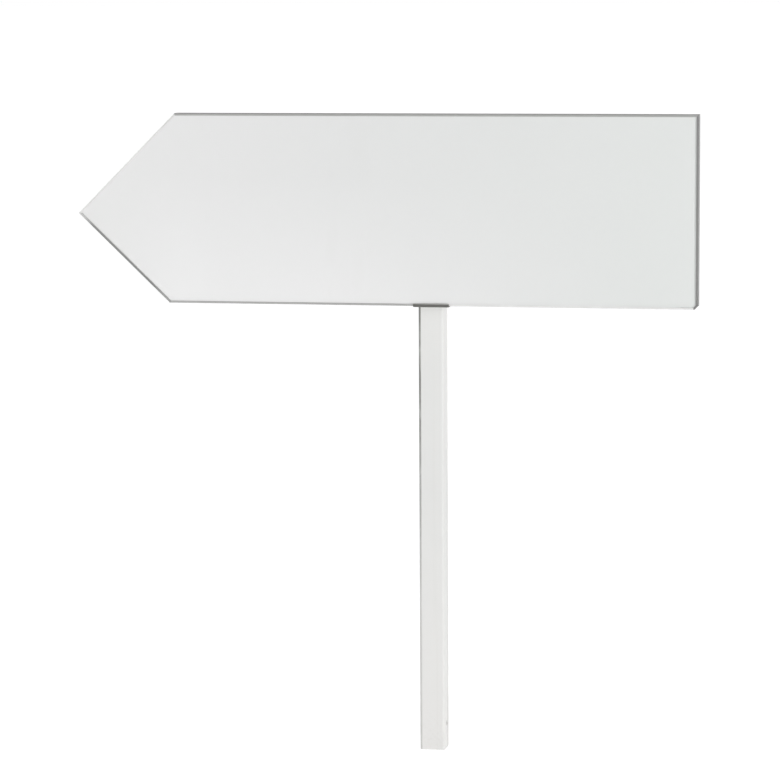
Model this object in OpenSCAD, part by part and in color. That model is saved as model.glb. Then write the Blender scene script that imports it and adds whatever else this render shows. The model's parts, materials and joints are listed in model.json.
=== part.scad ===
// Directional sign: a blank arrow-shaped panel clamped to a square steel post.
// The panel is an aluminium sheet held in a mitred rim of slotted extrusion.
// Two clamps grip the post. With their bolts slack they slide up and down the post,
// and the panel slides sideways on them, because the bolts' heads sit in the rim's slots.
//
// Frame: millimetres, +X to the square end of the panel, +Y behind the panel, +Z up.
// The origin is the centre of the post's foot, on the ground.

/* [Panel] */
// Length of the panel, from its point to its square end
panel_length = 1479.5; // [1300:0.5:1700]
// Height of the panel
panel_height = 450; // [400:1:560]
// Height of the panel's lower edge above the ground
panel_bottom = 1070; // [900:5:1600]
// Distance from the panel's square end to the middle of the post
post_to_end = 633.5; // [560:0.5:700]
// How far the point sits below the middle of the panel's height
point_drop = 13; // [0:1:25]
// Length of the point along its upper edge
point_run_upper = 238; // [215:1:260]
// Length of the point along its lower edge
point_run_lower = 221; // [200:1:240]

/* [Face] */
// Thickness of the aluminium sheet
sheet_t = 2; // [1.5:0.1:3]
// Thickness of the white reflective film
film_t = 0.5; // [0.3:0.1:0.6]
// Room between the sheet's edge and the bottom of the rim's groove
sheet_edge_gap = 0.5; // [0.2:0.1:1]
// How far the film's edge lies under the rim's front lip
film_under_lip = 1.5; // [0.5:0.1:2]

/* [Rim extrusion] */
// Depth of the rim, front to back
rim_depth = 32; // [30:0.5:38]
// Width of the rim, across its back
rim_width = 33; // [29:0.5:40]
// Wall of the rim and of the middle rail
rim_wall = 2; // [1.6:0.1:2.4]
// Width of the front lip that frames the face
lip_width = 5; // [4.5:0.5:7]
// Thickness of the front lip at its inner edge
lip_t = 1.8; // [1.6:0.1:2.2]
// How far the lip's face slopes back from its inner to its outer edge
lip_slope = 1.1; // [0.4:0.1:1.2]
// Radius of the rim's outer edges
rim_edge_r = 1.5; // [1:0.1:1.5]
// Width of the mouth of the bolt slot
slot_mouth = 10; // [9:0.1:11]
// Width of the bolt slot behind its mouth
slot_width = 22; // [20:0.5:22]
// Depth of the bolt slot behind its mouth
slot_depth = 8; // [7:0.1:8.5]
// Thickness of the two lips beside the slot's mouth
slot_lip_t = 2.5; // [2:0.1:3]

/* [Corners] */
// Side of the square corner block that closes the rim
block_size = 40; // [38:1:46]
// Size of the cut across the block's outer corner
block_chamfer = 8; // [6:0.5:13]
// Radius of the block's inner corner
block_inner_r = 6; // [3:0.5:8]
// Length of the tongues that the block pushes into the rim
tongue_length = 30; // [22:1:40]
// Length of each arm of a corner key, from the middle of the corner
key_arm = 48; // [40:1:60]
// Thickness of a corner key
key_t = 3; // [2.5:0.1:4]
// Diameter of the set screws in the keys
key_screw_d = 6; // [5:0.5:6]

/* [Middle rail] */
// Width of the rail's glued base
rail_base = 56; // [48:1:70]
// Width of each strip of bonding tape
tape_width = 14; // [8:0.5:14]
// Thickness of the bonding tape
tape_t = 1; // [0.8:0.1:2]
// Gap between the rail's ends and the rim
rail_end_gap = 3; // [2:0.5:10]

/* [Post] */
// Outside width of the square post
post_w = 60; // [50:1:70]
// Wall of the post
post_wall = 3; // [2:0.5:4]
// Outside radius of the post's corners
post_r = 6; // [5:0.5:8]
// How far the top of the post stays below the panel's upper edge
post_top_gap = 8; // [6:0.5:8]
// Diameter of the cross hole for the ground socket's bolt
anchor_hole_d = 11; // [9:0.5:14]
// Height of that hole above the foot
anchor_hole_h = 60; // [40:1:100]
// Thickness of the cap's flange
cap_t = 3; // [2:0.1:3]
// Depth of the cap's stem inside the post
cap_stem = 22; // [15:1:35]

/* [Clamps] */
// Running clearance between the post and everything that grips it
fit = 0.3; // [0.2:0.05:0.5]
// Thickness of the strap round the back of the post
strap_t = 3; // [2.5:0.1:4]
// Height of the strap
strap_h = 24; // [22:0.5:24]
// Inside radius of the strap's bends
strap_bend_r = 3; // [2:0.5:4]
// Gap left under the strap's ears for tightening
tighten_gap = 2; // [1:0.1:3]
// Thickness of the saddle and of the hook plate
saddle_t = 2.5; // [2:0.1:3]
// Width of the hook plate where it passes under the rim
hook_width = 85; // [60:1:86]
// How far the hook plate's bent part stands to the right of the post's middle
hook_shift = 7; // [-8:0.5:8]
// How far the hook plate reaches up over the rim's front lip
hook_lip = 6.5; // [4:0.5:8]
// Diameter of the clamp bolts
bolt_d = 8; // [6:0.5:8]

/* [Hidden] */
$fn = 48;

paint_white = [0.86, 0.86, 0.85];
film_white = [0.90, 0.91, 0.91];
traffic_grey = [0.55, 0.58, 0.58];
anthracite = [0.30, 0.30, 0.29];
zinc = [0.68, 0.70, 0.72];
stainless = [0.76, 0.76, 0.74];
cap_black = [0.10, 0.10, 0.10];

// How far a cutting shape runs past the face it cuts
past = 1;
// Slack between a tongue or a stem and the hollow that holds it
slip = 0.25;
// Slack between a threaded piece and its thread, taken as smooth
thread_slip = 0.05;

// Depths, from front to back
back_y = -post_w / 2 - fit - saddle_t;
front_y = back_y - rim_depth;
groove = sheet_t + film_t;
groove_back = lip_t + groove;
slot_floor = rim_depth - slot_lip_t - slot_depth;
// Distance from the rim's outer face to the middle of its slot, which lies against the inner wall
slot_inset = rim_width - rim_wall - slot_width / 2;
// Distance from the rim's outer face to the inner side of its hollow, a little past that middle
hollow_past_slot = 4;
web_u = slot_inset + hollow_past_slot;
// Overlap that keeps two cuts from leaving a skin between them
overcut = 0.01;

// The panel's corners, seen from the front and taken clockwise from the point
right_x = post_to_end;
point_x = post_to_end - panel_length;
top_z = panel_bottom + panel_height;
point_z = panel_bottom + panel_height / 2 - point_drop;
corners = [
    [point_x, point_z],
    [point_x + point_run_upper, top_z],
    [right_x, top_z],
    [right_x, panel_bottom],
    [point_x + point_run_lower, panel_bottom]
];
POINT = 0;
TOP_LEFT = 1;
TOP_RIGHT = 2;
BOTTOM_RIGHT = 3;
BOTTOM_LEFT = 4;

// The outline of the whole panel, with the bottom right corner cut across
outline = [
    corners[POINT], corners[TOP_LEFT], corners[TOP_RIGHT],
    [right_x, panel_bottom + block_chamfer], [right_x - block_chamfer, panel_bottom],
    corners[BOTTOM_LEFT]
];

// Fasteners of the clamps
washer_d = 2 * bolt_d;
washer_t = 1.6;
washer_slack = 0.2;
nut_h = bolt_d;
nut_flats = 1.625 * bolt_d;
// Height of the nut's hexagon, under the round collar
nut_hex_h = 0.78 * nut_h;
nut_collar_step = 0.5;
nut_collar_d = nut_flats - 2 * nut_collar_step;
// How far the hexagon's corners are turned down, at half that height
nut_turned = 0.9;
// Length of bolt that stands out of the nut, and the chamfer at its tip
bolt_end = 3;
bolt_chamfer = 1;
bolt_hole_slack = 0.5;
bolt_hole_d = bolt_d + 2 * bolt_hole_slack;
// The hammer head: how far it stands out past the bolt, its thickness, and its room in the slot
head_ledge = 0.8;
head_t = 4;
head_slack = 1;
// Its ends are turned round, so that it can turn in the slot
head_turn_slack = 0.5;
// Its size along X, Y and Z
bolt_head = [bolt_d + 2 * head_ledge, head_t, slot_width - 2 * head_slack];

// Straps and saddles
strap_in = post_w / 2 + fit;
strap_out = strap_in + strap_t;
// Clear space between a washer and the strap's bend, and beyond it on the ear
washer_room = 0.75;
ear_margin = 2;
bolt_x = strap_out + strap_bend_r + washer_d / 2 + washer_room;
ear_x = bolt_x + washer_d / 2 + ear_margin;
ear_y = -post_w / 2 - fit + tighten_gap;
// Cut across the corners of the ears
ear_clip = 4;
saddle_corner_r = 4;
// Inside radius of the hook plate's two bends, and radius of its front corners
hook_bend_r = 1;
hook_corner_r = 2;
upper_z = top_z - slot_inset;
lower_z = panel_bottom + slot_inset;

// Post and cap
post_h = top_z - post_top_gap;
post_bore = post_w - 2 * post_wall;
cap_stem_gap = 2.5;
cap_stem_wall = 2.5;
cap_stem_r = 2;
cap_fin_t = 1.2;
cap_fin_pitch = 6;
// Height of the slope round the flange's top
cap_crown = 1;

// Corner keys and corner block
// Where the two set screws of a key's arm stand, as shares of the arm
key_screw_shares = [0.38, 0.80];
block_screw_d = 4.8;
block_screw_l = 14;
block_screw_slack = 0.1;
block_screw_head = [9, 2.6];
block_screw_places = [
    [right_x - slot_inset, panel_bottom + block_size + tongue_length / 2],
    [right_x - block_size - tongue_length / 2, panel_bottom + slot_inset]
];
// The block's outer edge, from the end rim round to the bottom rim
block_edge = [
    [right_x, panel_bottom + block_size],
    outline[3],
    outline[4],
    [right_x - block_size, panel_bottom]
];

// Middle rail
rail_z = panel_bottom + panel_height / 2;
rail_body = slot_width + 2 * rim_wall;
rail_right = right_x - rim_width - rail_end_gap;
// The rail's left end stops where its base would meet the sloping rim of the point
slope = unit(corners[TOP_LEFT] - corners[POINT]);
rail_left = point_x + (rim_width + rail_end_gap) / slope[1]
    + (rail_z + rail_base / 2 - point_z) * slope[0] / slope[1];

// Small vector helpers, all in the plane of the panel
function wrap(i, n) = (i + n) % n;
function unit(v) = v / norm(v);
function inward(a, b) = let (d = unit(b - a)) [d[1], -d[0]];
function inset_corner(p, a, b, d) =
    let (n1 = inward(a, p), n2 = inward(p, b)) p + d * (n1 + n2) / (1 + n1 * n2);
function inset(points, d) =
    let (n = len(points))
    [for (i = [0:n - 1]) inset_corner(points[i], points[wrap(i - 1, n)], points[wrap(i + 1, n)], d)];
function corner_angle(i) =
    let (
        a = unit(corners[wrap(i - 1, 5)] - corners[i]),
        b = unit(corners[wrap(i + 1, 5)] - corners[i])
    ) acos(a * b);
function side_length(i) = norm(corners[wrap(i + 1, 5)] - corners[i]);
// How far along a side the joint at its start or end lies, at depth u from the outer face
function start_cut(i, u) = i == BOTTOM_RIGHT ? block_size : u / tan(corner_angle(i) / 2);
function end_cut(i, u) =
    let (j = wrap(i + 1, 5)) j == BOTTOM_RIGHT ? block_size : u / tan(corner_angle(j) / 2);

// A plate standing in the plane of the panel, between two depths
module upright(y_front, y_back) {
    translate([0, y_back, 0]) rotate([90, 0, 0]) linear_extrude(y_back - y_front) children();
}

// A bar along X whose section is drawn as [depth, height]
module bar(length) {
    rotate([90, 0, 90]) linear_extrude(length) children();
}

// A round hole or pin along Y
module along_y(x, z, y_front, y_back, d) {
    translate([x, y_front, z]) rotate([-90, 0, 0]) cylinder(d = d, h = y_back - y_front);
}

// A rectangle with four rounded corners
module round_rect(size, r) {
    difference() {
        square(size);
        for (p = [[0, 0], [1, 0], [0, 1], [1, 1]])
            translate([p[0] * size[0], p[1] * size[1]])
                mirror([p[0], 0]) mirror([0, p[1]]) edge_cut(r);
    }
}

// What a radius takes off the corner of a shape that lies at the origin
module edge_cut(r) {
    difference() {
        translate([-past, -past]) square(r + past);
        translate([r, r]) circle(r);
    }
}

// Puts what is drawn below a level edge onto the edge of the panel from a to b.
// X runs along the edge, -Z inwards and +Y backwards from the front face.
module on_edge(a, b) {
    d = b - a;
    translate([a[0], front_y, a[1]]) rotate([0, -atan2(d[1], d[0]), 0]) children();
}

// The same on one of the panel's five sides, counted from the corner where it starts
module on_side(i) {
    on_edge(corners[i], corners[wrap(i + 1, 5)]) children();
}

// The slot with its narrow mouth, drawn as [depth, height] about the slot's middle
module slot_section() {
    translate([slot_floor, -slot_width / 2]) square([slot_depth, slot_width]);
    translate([slot_floor, -slot_mouth / 2]) square([slot_depth + slot_lip_t + past, slot_mouth]);
}

module rim_section() {
    side_wall = slot_inset - slot_width / 2 - rim_wall;
    difference() {
        translate([0, -rim_width]) square([rim_depth, rim_width]);
        // groove for the sheet, and the window in front of it
        translate([lip_t, -rim_width - past]) square([groove, rim_width + past - rim_wall]);
        translate([-past, -rim_width - past])
            square([lip_t + past + overcut, rim_width + past - lip_width]);
        // hollow behind the sheet, and the open space beside it
        translate([groove_back + rim_wall, -web_u])
            square([slot_floor - groove_back - 2 * rim_wall, web_u - rim_wall]);
        translate([groove_back - past, -rim_width - past])
            square([slot_floor - rim_wall - groove_back + past, rim_width + past - web_u - rim_wall]);
        // bolt slot, and the small hollow beside it
        translate([0, -slot_inset]) slot_section();
        translate([slot_floor, -side_wall]) square([slot_depth, side_wall - rim_wall]);
        outer_cuts();
        translate([rim_depth, -rim_width]) mirror([1, 0]) edge_cut(rim_edge_r);
    }
}

// What the rim's outer edges lose: a slope on the front lip, and a radius at front and back
module outer_cuts() {
    lean = atan(lip_slope / lip_width);
    tangent = rim_edge_r / tan(45 + lean / 2);
    middle = [lip_slope + tangent, -rim_edge_r];
    on_lip = [lip_slope - tangent * sin(lean), -tangent * cos(lean)];
    polygon([[-past, -lip_width], [0, -lip_width], [lip_slope, 0], [lip_slope, past], [-past, past]]);
    difference() {
        polygon([
            middle, on_lip, on_lip + past * [-cos(lean), sin(lean)],
            [lip_slope - past, past], [middle[0], past]
        ]);
        translate(middle) circle(rim_edge_r);
    }
    translate([rim_depth, 0]) mirror([1, 0]) mirror([0, 1]) edge_cut(rim_edge_r);
}

// The shape that cuts side i to its mitres, or square where the corner block stands
module mitre(i, inner) {
    l = side_length(i);
    upright(-past, rim_depth + past)
        polygon([
            [start_cut(i, 0), 0], [l - end_cut(i, 0), 0],
            [l - end_cut(i, inner), -inner], [start_cut(i, inner), -inner]
        ]);
}

module rim(i) {
    color(traffic_grey)
    on_side(i)
    difference() {
        intersection() {
            bar(side_length(i)) rim_section();
            mitre(i, rim_width);
        }
        if (i == TOP_RIGHT) block_screw_hole(side_length(i) - block_size - tongue_length / 2);
        if (i == BOTTOM_RIGHT) block_screw_hole(block_size + tongue_length / 2);
    }
}

module block_screw_hole(s) {
    along_y(s, -slot_inset, slot_floor - rim_wall - past, slot_floor + past,
        block_screw_d + 2 * block_screw_slack);
}

module face_sheet() {
    color(traffic_grey)
    upright(front_y + lip_t + film_t, front_y + groove_back)
        polygon(inset(outline, rim_wall + sheet_edge_gap));
}

module face_film() {
    color(film_white)
    upright(front_y + lip_t, front_y + lip_t + film_t)
        polygon(inset(outline, lip_width - film_under_lip));
}

// Where the two arms of a corner's key meet, in the middle of the rim's slots
function key_middle(i) =
    inset_corner(corners[i], corners[wrap(i - 1, 5)], corners[wrap(i + 1, 5)], slot_inset);
// The directions in which its arms run
function key_arms(i) =
    [for (j = [i - 1, i + 1]) unit(corners[wrap(j, 5)] - corners[i])];
// Each arm has two set screws, one near the corner and one near its tip
function key_screw_places(i) =
    [for (arm = key_arms(i), share = key_screw_shares) key_middle(i) + share * key_arm * arm];
function key_outline(i) =
    let (
        p = corners[i],
        before = corners[wrap(i - 1, 5)],
        after = corners[wrap(i + 1, 5)],
        half = slot_width / 2 - slip,
        tip_before = key_middle(i) + key_arm * key_arms(i)[0],
        tip_after = key_middle(i) + key_arm * key_arms(i)[1]
    ) [
        inset_corner(p, before, after, slot_inset - half),
        tip_after - half * inward(p, after),
        tip_after + half * inward(p, after),
        inset_corner(p, before, after, slot_inset + half),
        tip_before + half * inward(before, p),
        tip_before - half * inward(before, p)
    ];

// An angled plate in the slots of two rim lengths, pressed against the slots' lips
module corner_key(i) {
    key_back = back_y - slot_lip_t;
    color(zinc)
    difference() {
        upright(key_back - key_t, key_back) polygon(key_outline(i));
        for (p = key_screw_places(i))
            along_y(p[0], p[1], key_back - key_t - past, key_back + past,
                key_screw_d + 2 * thread_slip);
    }
}

// Set screws with a hexagon socket: they stand on the slot's floor and lift the key against its lips
module corner_key_screws() {
    key_back = back_y - slot_lip_t;
    color(stainless)
    for (i = [POINT, TOP_LEFT, TOP_RIGHT, BOTTOM_LEFT], p = key_screw_places(i))
        difference() {
            along_y(p[0], p[1], key_back - slot_depth, key_back, key_screw_d);
            socket(p[0], p[1], key_back, key_screw_d / 2);
        }
}

// A hexagon socket in the back of a screw whose top lies at depth y
module socket(x, z, y, flats) {
    translate([x, y - flats, z]) rotate([-90, 0, 0])
        cylinder(d = flats / cos(30), h = flats + past, $fn = 6);
}

// The rim's slope and radii, carried round the block's outer edge
module block_edge_cuts() {
    for (k = [0:2])
        on_edge(block_edge[k], block_edge[k + 1])
            translate([-lip_width, 0, 0])
                bar(norm(block_edge[k + 1] - block_edge[k]) + 2 * lip_width) outer_cuts();
}

module corner_block() {
    in_u = rim_wall + slip;
    out_u = web_u - slip;
    in_v = groove_back + rim_wall + slip;
    out_v = slot_floor - rim_wall - slip;
    reach = block_size + tongue_length;
    color(traffic_grey)
    difference() {
        union() {
            upright(front_y, back_y)
                polygon(concat(block_edge, [[right_x - block_size, panel_bottom + block_size]]));
            translate([right_x - out_u, front_y + in_v, panel_bottom + block_size - past])
                cube([out_u - in_u, out_v - in_v, tongue_length + past]);
            translate([right_x - reach, front_y + in_v, panel_bottom + in_u])
                cube([tongue_length + past, out_v - in_v, out_u - in_u]);
        }
        upright(front_y - past, front_y + lip_t + overcut) panel_window(lip_width);
        upright(front_y + lip_t, front_y + groove_back) panel_window(rim_wall);
        // rounded inner corner
        translate([right_x - block_size, 0, panel_bottom + block_size])
            upright(front_y - past, back_y + past) mirror([0, 1]) edge_cut(block_inner_r);
        block_edge_cuts();
        block_screw_bores();
    }
}

// The panel's outline moved in by d, larger than the block on its inner sides
module panel_window(d) {
    polygon(inset(outline, d));
}

module block_screw_bores() {
    for (p = block_screw_places)
        along_y(p[0], p[1], front_y, back_y, block_screw_d + 2 * thread_slip);
}

module corner_block_screws() {
    seat = front_y + slot_floor;
    color(stainless)
    for (p = block_screw_places)
        difference() {
            union() {
                along_y(p[0], p[1], seat - block_screw_l, seat + past, block_screw_d);
                along_y(p[0], p[1], seat, seat + block_screw_head[1], block_screw_head[0]);
            }
            socket(p[0], p[1], seat + block_screw_head[1], block_screw_head[0] / 3);
        }
}

// A wide base for the tapes, and a channel with the same slot as the rim
module rail_section() {
    base_v = groove_back + tape_t;
    difference() {
        union() {
            translate([base_v, -rail_base / 2]) square([rim_wall, rail_base]);
            translate([base_v, -rail_body / 2]) square([rim_depth - base_v, rail_body]);
        }
        slot_section();
        translate([base_v + rim_wall, -slot_width / 2])
            square([slot_floor - base_v - 2 * rim_wall, slot_width]);
    }
}

module mid_rail() {
    color(traffic_grey)
    translate([rail_left, front_y, rail_z]) bar(rail_right - rail_left) rail_section();
}

module rail_tapes() {
    color(cap_black)
    for (side = [-1, 1])
        translate([rail_left, front_y + groove_back, rail_z + side * (rail_base - tape_width) / 2])
            translate([0, 0, -tape_width / 2]) cube([rail_right - rail_left, tape_t, tape_width]);
}

module post() {
    color(paint_white)
    difference() {
        column(post_w, post_r, 0, post_h);
        column(post_bore, post_r - post_wall, -past, post_h + past);
        translate([-post_w, 0, anchor_hole_h]) rotate([0, 90, 0])
            cylinder(d = anchor_hole_d, h = 2 * post_w);
    }
}

// A square column about the post's axis, between two heights
module column(side, r, z_low, z_high) {
    translate([-side / 2, -side / 2, z_low]) linear_extrude(z_high - z_low)
        round_rect([side, side], r);
}

// The sloping top of the cap's flange: a cone at each corner, and two bars with sloping sides
module crown(side, r, z_low) {
    half = side / 2;
    top = half - cap_crown;
    translate([0, 0, z_low]) {
        for (x = [r - half, half - r], y = [r - half, half - r])
            translate([x, y, 0]) cylinder(r1 = r, r2 = r - cap_crown, h = cap_crown);
        for (turn = [0, 90])
            rotate(turn) translate([r - half, 0, 0]) bar(side - 2 * r)
                polygon([[-half, 0], [half, 0], [top, cap_crown], [-top, cap_crown]]);
    }
}

// Moulded plug: a crowned flange, a hollow stem, and three fins that hold the stem in the post
module post_cap() {
    stem = post_bore - 2 * cap_stem_gap;
    color(cap_black)
    difference() {
        union() {
            column(post_w, post_r, post_h, post_h + cap_t - cap_crown);
            crown(post_w, post_r, post_h + cap_t - cap_crown);
            column(stem, cap_stem_r, post_h - cap_stem, post_h + past);
            for (k = [0:2]) {
                z = post_h - cap_fin_pitch * (k + 0.5);
                column(post_bore - 2 * slip, post_r - post_wall, z, z + cap_fin_t);
            }
        }
        translate([0, 0, post_h - cap_stem - past])
            translate([cap_stem_wall - stem / 2, cap_stem_wall - stem / 2, 0])
                cube([stem - 2 * cap_stem_wall, stem - 2 * cap_stem_wall, cap_stem + past]);
    }
}

// Seen from above: two ears, two legs along the post, and a back with rounded bends
module strap_plan() {
    bend = strap_bend_r;
    difference() {
        translate([-strap_out, ear_y]) square([2 * strap_out, strap_out - ear_y]);
        translate([-strap_in, ear_y - past]) square([2 * strap_in, past + bend]);
        translate([-strap_in, ear_y]) round_rect([2 * strap_in, strap_in - ear_y], bend);
        for (side = [0, 1])
            mirror([side, 0]) translate([strap_out, strap_out])
                mirror([1, 0]) mirror([0, 1]) edge_cut(bend + strap_t);
    }
    for (side = [0, 1])
        mirror([side, 0]) {
            translate([strap_in, ear_y]) square([ear_x - strap_in, strap_t]);
            // inside bend between leg and ear
            difference() {
                translate([strap_out - past, ear_y + strap_t - past]) square(bend + past);
                translate([strap_out + bend, ear_y + strap_t + bend]) circle(bend);
            }
        }
}

module strap(z) {
    color(zinc)
    difference() {
        translate([0, 0, z - strap_h / 2]) linear_extrude(strap_h) strap_plan();
        bolt_holes(z, ear_y - past, ear_y + strap_t + past);
        // clipped corners of the ears
        for (x = [-1, 1], end = [-1, 1])
            translate([x * ear_x, ear_y - past, z + end * strap_h / 2]) rotate([0, 45, 0])
                translate([-ear_clip / sqrt(2), 0, -ear_clip / sqrt(2)])
                    cube([ear_clip * sqrt(2), strap_t + 2 * past, ear_clip * sqrt(2)]);
    }
}

module bolt_holes(z, y_front, y_back) {
    for (x = [-bolt_x, bolt_x]) along_y(x, z, y_front, y_back, bolt_hole_d);
}

// Flat plate between the rim and the post, held by the bolts
module saddle_plate(z) {
    upright(back_y, back_y + saddle_t)
        translate([-ear_x, z - strap_h / 2]) round_rect([2 * ear_x, strap_h], saddle_corner_r);
}

module upper_saddle() {
    color(anthracite)
    difference() {
        saddle_plate(upper_z);
        bolt_holes(upper_z, back_y - past, back_y + saddle_t + past);
    }
}

// The lower saddle carries on under the rim and hooks up over its front lip
module hook_section() {
    low = panel_bottom - saddle_t;
    depth = rim_depth + 2 * saddle_t;
    difference() {
        translate([front_y - saddle_t, low]) square([depth, lower_z - low]);
        // the space that the rim fills
        translate([front_y, panel_bottom])
            round_rect([rim_depth, lower_z - panel_bottom + hook_bend_r + past], hook_bend_r);
        // everything above the front lip
        translate([front_y - saddle_t - past, panel_bottom + hook_lip])
            square([saddle_t + past + rim_depth / 2, lower_z]);
        translate([front_y - saddle_t, low]) edge_cut(hook_bend_r + saddle_t);
        translate([back_y + saddle_t, low]) mirror([1, 0]) edge_cut(hook_bend_r + saddle_t);
    }
}

module hook_plate() {
    color(anthracite)
    difference() {
        union() {
            translate([hook_shift - hook_width / 2, 0, 0]) bar(hook_width) hook_section();
            saddle_plate(lower_z);
        }
        // rounded corners of the front lip
        translate([hook_shift, 0, 0])
            for (side = [0, 1])
                mirror([side, 0, 0]) upright(front_y - saddle_t - past, front_y + past)
                    translate([hook_width / 2, panel_bottom + hook_lip])
                        mirror([1, 0]) mirror([0, 1]) edge_cut(hook_corner_r);
        bolt_holes(lower_z, back_y - past, back_y + saddle_t + past);
    }
}

// Hammer-head bolts: the head turns across the slot behind its lips
module bolts(z) {
    head_back = back_y - slot_lip_t;
    tip = ear_y + strap_t + washer_t + nut_h + bolt_end;
    color(stainless)
    for (x = [-bolt_x, bolt_x]) {
        intersection() {
            translate([x - bolt_head[0] / 2, head_back - bolt_head[1], z - bolt_head[2] / 2])
                cube(bolt_head);
            along_y(x, z, head_back - head_t - past, head_back + past, slot_width - 2 * head_turn_slack);
        }
        along_y(x, z, head_back - past, tip - bolt_chamfer, bolt_d);
        translate([x, tip - bolt_chamfer, z]) rotate([-90, 0, 0])
            cylinder(d1 = bolt_d, d2 = bolt_d - 2 * bolt_chamfer, h = bolt_chamfer);
    }
}

module washers(z) {
    seat = ear_y + strap_t;
    color(stainless)
    for (x = [-bolt_x, bolt_x])
        difference() {
            along_y(x, z, seat, seat + washer_t, washer_d);
            along_y(x, z, seat - past, seat + washer_t + past, bolt_d + 2 * washer_slack);
        }
}

// Locking nuts: a hexagon with a round collar that holds the nylon ring
module nuts(z) {
    seat = ear_y + strap_t + washer_t;
    color(stainless)
    for (x = [-bolt_x, bolt_x])
        difference() {
            union() {
                translate([x, seat, z]) rotate([-90, 0, 0]) nut_hexagon();
                along_y(x, z, seat, seat + nut_h, nut_collar_d);
            }
            along_y(x, z, seat - past, seat + nut_h + past, bolt_d + 2 * thread_slip);
        }
}

// The hexagon stands on Z = 0 and has its corners turned down at both ends
module nut_hexagon() {
    corner_d = nut_flats / cos(30);
    half = nut_hex_h / 2;
    intersection() {
        cylinder(d = corner_d, h = nut_hex_h, $fn = 6);
        union() {
            cylinder(d1 = corner_d - 2 * nut_turned, d2 = corner_d + 2 * nut_turned, h = half);
            translate([0, 0, half])
                cylinder(d1 = corner_d + 2 * nut_turned, d2 = corner_d - 2 * nut_turned, h = half);
        }
    }
}

module clamp_bolts() {
    bolts(upper_z);
    bolts(lower_z);
}

module clamp_washers() {
    washers(upper_z);
    washers(lower_z);
}

module clamp_nuts() {
    nuts(upper_z);
    nuts(lower_z);
}

post();
post_cap();
face_sheet();
face_film();
rim(TOP_LEFT);  // rim_top
rim(TOP_RIGHT);  // rim_end
rim(BOTTOM_RIGHT);  // rim_bottom
rim(BOTTOM_LEFT);  // rim_point_lower
rim(POINT);  // rim_point_upper
corner_key(POINT);  // corner_key_point
corner_key(TOP_LEFT);  // corner_key_top_left
corner_key(TOP_RIGHT);  // corner_key_top_right
corner_key(BOTTOM_LEFT);  // corner_key_bottom_left
corner_key_screws();
corner_block();
corner_block_screws();
mid_rail();
rail_tapes();
upper_saddle();
hook_plate();
strap(upper_z);  // upper_strap
strap(lower_z);  // lower_strap
clamp_bolts();
clamp_washers();
clamp_nuts();
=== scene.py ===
"""Directional sign: finishes, small pieces, floor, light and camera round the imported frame.

Metres, +X to the panel's square end, +Y behind the panel, +Z up, origin at the post's foot.
"""

import json
import math

import bmesh
import bpy
from mathutils import Matrix, Vector

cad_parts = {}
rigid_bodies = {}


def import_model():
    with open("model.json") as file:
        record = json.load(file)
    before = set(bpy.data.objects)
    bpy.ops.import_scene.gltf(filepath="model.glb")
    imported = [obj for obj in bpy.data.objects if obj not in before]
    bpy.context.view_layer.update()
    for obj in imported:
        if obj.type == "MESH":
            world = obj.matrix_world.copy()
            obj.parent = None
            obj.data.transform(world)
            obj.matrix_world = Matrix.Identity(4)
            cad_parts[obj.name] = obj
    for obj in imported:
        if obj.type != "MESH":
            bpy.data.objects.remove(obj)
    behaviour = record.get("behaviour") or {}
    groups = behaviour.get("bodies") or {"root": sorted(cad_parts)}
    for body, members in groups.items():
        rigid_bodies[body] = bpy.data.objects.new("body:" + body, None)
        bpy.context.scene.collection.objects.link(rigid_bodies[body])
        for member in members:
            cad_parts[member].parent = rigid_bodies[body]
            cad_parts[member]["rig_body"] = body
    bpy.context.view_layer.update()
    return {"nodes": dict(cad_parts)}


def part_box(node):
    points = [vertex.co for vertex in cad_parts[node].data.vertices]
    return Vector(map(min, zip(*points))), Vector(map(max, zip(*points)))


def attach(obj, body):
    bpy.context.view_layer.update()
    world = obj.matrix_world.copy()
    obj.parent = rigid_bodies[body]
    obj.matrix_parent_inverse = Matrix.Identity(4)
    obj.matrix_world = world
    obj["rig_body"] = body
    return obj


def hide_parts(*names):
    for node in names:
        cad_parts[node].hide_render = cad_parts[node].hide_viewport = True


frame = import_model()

MM = 0.001
NODES = frame["nodes"]

# Where things stand, read from the frame

# The panel's corners, in order round it, each as x and z
CORNER = {
    "point": (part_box("rim_point_upper")[0].x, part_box("rim_point_upper")[0].z),
    "top_left": (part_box("rim_top")[0].x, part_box("rim_top")[1].z),
    "top_right": (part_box("rim_end")[1].x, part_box("rim_end")[1].z),
    "bottom_right": (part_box("rim_end")[1].x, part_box("rim_bottom")[0].z),
    "bottom_left": (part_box("rim_bottom")[0].x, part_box("rim_bottom")[0].z),
}
ORDER = tuple(CORNER)
# The cast block stands at the lower right, and the other corners are mitred and keyed
MITRED = [corner for corner in ORDER if corner != "bottom_right"]
# The two corners that each length of the rim joins
SIDE_OF = {
    "rim_point_upper": ("point", "top_left"),
    "rim_top": ("top_left", "top_right"),
    "rim_end": ("top_right", "bottom_right"),
    "rim_bottom": ("bottom_right", "bottom_left"),
    "rim_point_lower": ("bottom_left", "point"),
}
POST_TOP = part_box("post")[1].z
POST_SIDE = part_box("post")[1].x
PANEL_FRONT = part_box("rim_top")[0].y
PANEL_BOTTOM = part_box("rim_bottom")[0].z
PANEL_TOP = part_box("rim_top")[1].z
# Width of the rim's front lip, and how far up the panel's front the hook plate reaches
LIP_WIDTH = 5.0 * MM
HOOK_LIP = 6.5 * MM

# Fasteners, the same sizes as in the frame

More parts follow.
